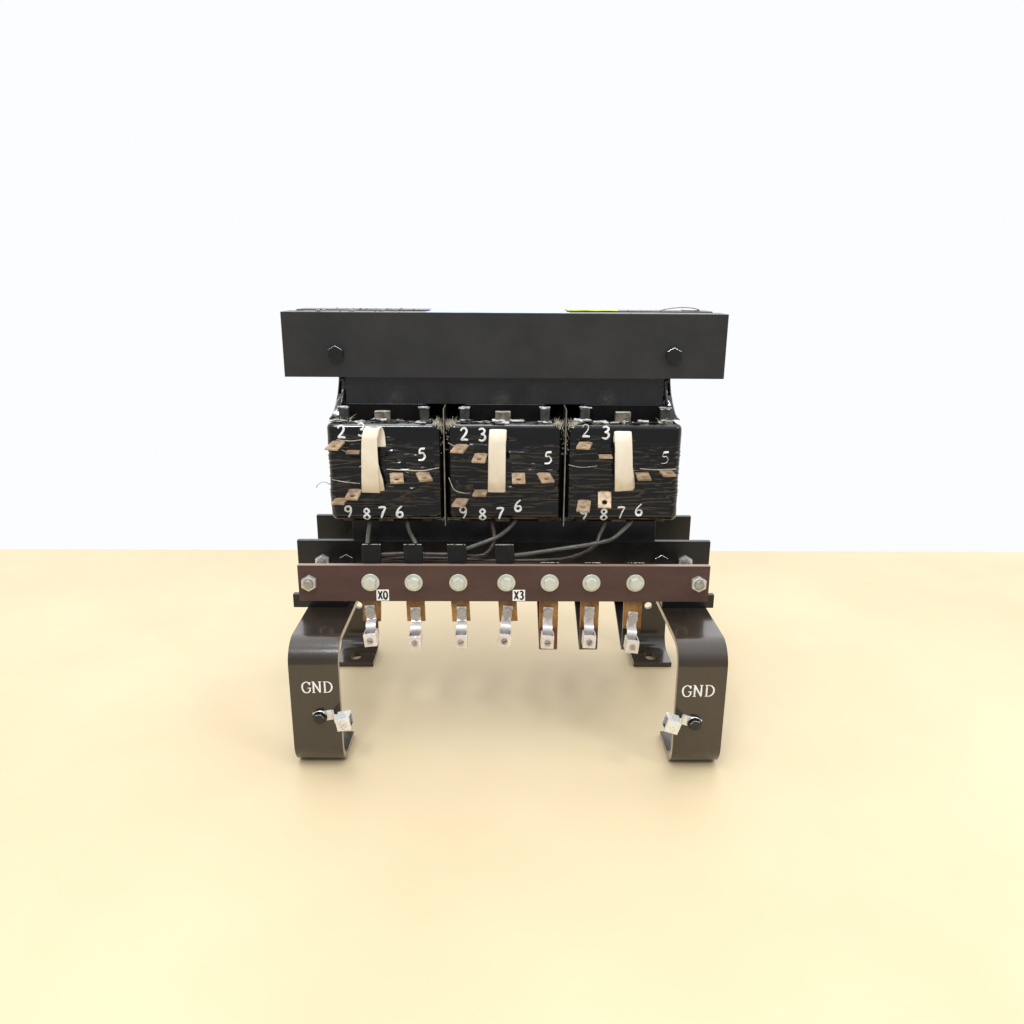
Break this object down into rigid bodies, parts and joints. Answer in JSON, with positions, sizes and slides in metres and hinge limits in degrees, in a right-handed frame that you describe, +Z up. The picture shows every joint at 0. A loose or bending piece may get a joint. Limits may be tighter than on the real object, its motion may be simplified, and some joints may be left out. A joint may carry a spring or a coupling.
{
  "type": "three-phase core-and-coil transformer",
  "caption": "Open dry-type transformer: laminated core with tapped coils between steel clamps, on bent flat-bar feet, with a front terminal board and collar lugs.",
  "frame": {"origin": "on the ground, in the middle of the overall footprint (clamp ends in X, ground lug screws to rear feet in Y)", "axes": "+Z up, +X along the core to the right seen from the terminal board, +Y from the terminal board to the back"},
  "size_m": [0.451, 0.3048, 0.4433],
  "materials": {
    "core_steel": "black varnish over laminations",
    "varnished_winding": "thick glossy black varnish",
    "tube_board": "varnished pressboard",
    "duct_pack": "layered insulation edges",
    "barrier_sheet": "varnished aramid sheet",
    "black_clamp": "satin black paint",
    "black_fastener": "black oxide",
    "black_foot": "satin black paint",
    "board_laminate": "reddish brown laminate",
    "zinc_stud": "bright zinc",
    "copper_bar": "bare copper with varnish stains",
    "plated_terminal": "pale zinc plating",
    "tinned_lug": "tin plating",
    "lug_hardware": "zinc plating",
    "tap_copper": "dull tinned copper",
    "jumper_strap": "cream insulated strap",
    "sleeved_lead": "varnished olive sleeving",
    "marker": "white label"
  },
  "bodies": {
    "transformer": {"upper_yoke": "core_steel", "lower_yoke": "core_steel", "core_limbs": "core_steel", "limb_tubes": "tube_board", "inner_windings": "varnished_winding", "winding_left": "varnished_winding", "winding_centre": "varnished_winding", "winding_right": "varnished_winding", "corner_sticks": "tube_board", "duct_packs": "duct_pack", "phase_barriers": "barrier_sheet", "end_sheets": "barrier_sheet", "upper_clamp_front": "black_clamp", "upper_clamp_rear": "black_clamp", "lower_clamp_front": "black_clamp", "lower_clamp_rear": "black_clamp", "tie_bolts": "black_fastener", "tie_nuts": "black_fastener", "foot_front_left": "black_foot", "foot_front_right": "black_foot", "foot_rear_left": "black_foot", "foot_rear_right": "black_foot", "foot_bolts": "black_fastener", "foot_nuts": "black_fastener", "terminal_board": "board_laminate", "board_studs": "zinc_stud", "board_nuts": "zinc_stud", "terminal_bars": "copper_bar", "riser_bars": "copper_bar", "terminal_bolts": "plated_terminal", "terminal_washers": "plated_terminal", "terminal_nuts": "plated_terminal", "lug_strips": "tinned_lug", "lug_collars": "tinned_lug", "lug_bolts": "lug_hardware", "lug_nuts": "lug_hardware", "ground_washers": "black_fastener", "tap_tabs_left": "tap_copper", "tap_tabs_centre": "tap_copper", "tap_tabs_right": "tap_copper", "jumper_left": "jumper_strap", "jumper_centre": "jumper_strap", "jumper_right": "jumper_strap", "coil_leads": "sleeved_lead", "neutral_leads": "sleeved_lead", "marker_plates": "marker"},
    "screw_1": {"lug_screw_1": "tinned_lug"},
    "screw_2": {"lug_screw_2": "tinned_lug"},
    "screw_3": {"lug_screw_3": "tinned_lug"},
    "screw_4": {"lug_screw_4": "tinned_lug"},
    "screw_5": {"lug_screw_5": "tinned_lug"},
    "screw_6": {"lug_screw_6": "tinned_lug"},
    "screw_7": {"lug_screw_7": "tinned_lug"},
    "screw_8": {"lug_screw_8": "tinned_lug"},
    "screw_9": {"lug_screw_9": "tinned_lug"}
  },
  "joints": [
    {"name": "screw_1_travel", "type": "slide", "parent": "transformer", "child": "screw_1", "axis": [0, 1, 0], "range_m": [-0.003, 0.0045]},
    {"name": "screw_2_travel", "type": "slide", "parent": "transformer", "child": "screw_2", "axis": [0, 1, 0], "range_m": [-0.003, 0.0045]},
    {"name": "screw_3_travel", "type": "slide", "parent": "transformer", "child": "screw_3", "axis": [0, 1, 0], "range_m": [-0.003, 0.0045]},
    {"name": "screw_4_travel", "type": "slide", "parent": "transformer", "child": "screw_4", "axis": [0, 1, 0], "range_m": [-0.003, 0.0045]},
    {"name": "screw_5_travel", "type": "slide", "parent": "transformer", "child": "screw_5", "axis": [0, 1, 0], "range_m": [-0.003, 0.0045]},
    {"name": "screw_6_travel", "type": "slide", "parent": "transformer", "child": "screw_6", "axis": [0, 1, 0], "range_m": [-0.003, 0.0045]},
    {"name": "screw_7_travel", "type": "slide", "parent": "transformer", "child": "screw_7", "axis": [0, 1, 0], "range_m": [-0.003, 0.0045]},
    {"name": "screw_8_travel", "type": "slide", "parent": "transformer", "child": "screw_8", "axis": [0, 1, 0], "range_m": [-0.003, 0.0045]},
    {"name": "screw_9_travel", "type": "slide", "parent": "transformer", "child": "screw_9", "axis": [0, 1, 0], "range_m": [-0.003, 0.0045]}
  ]
}
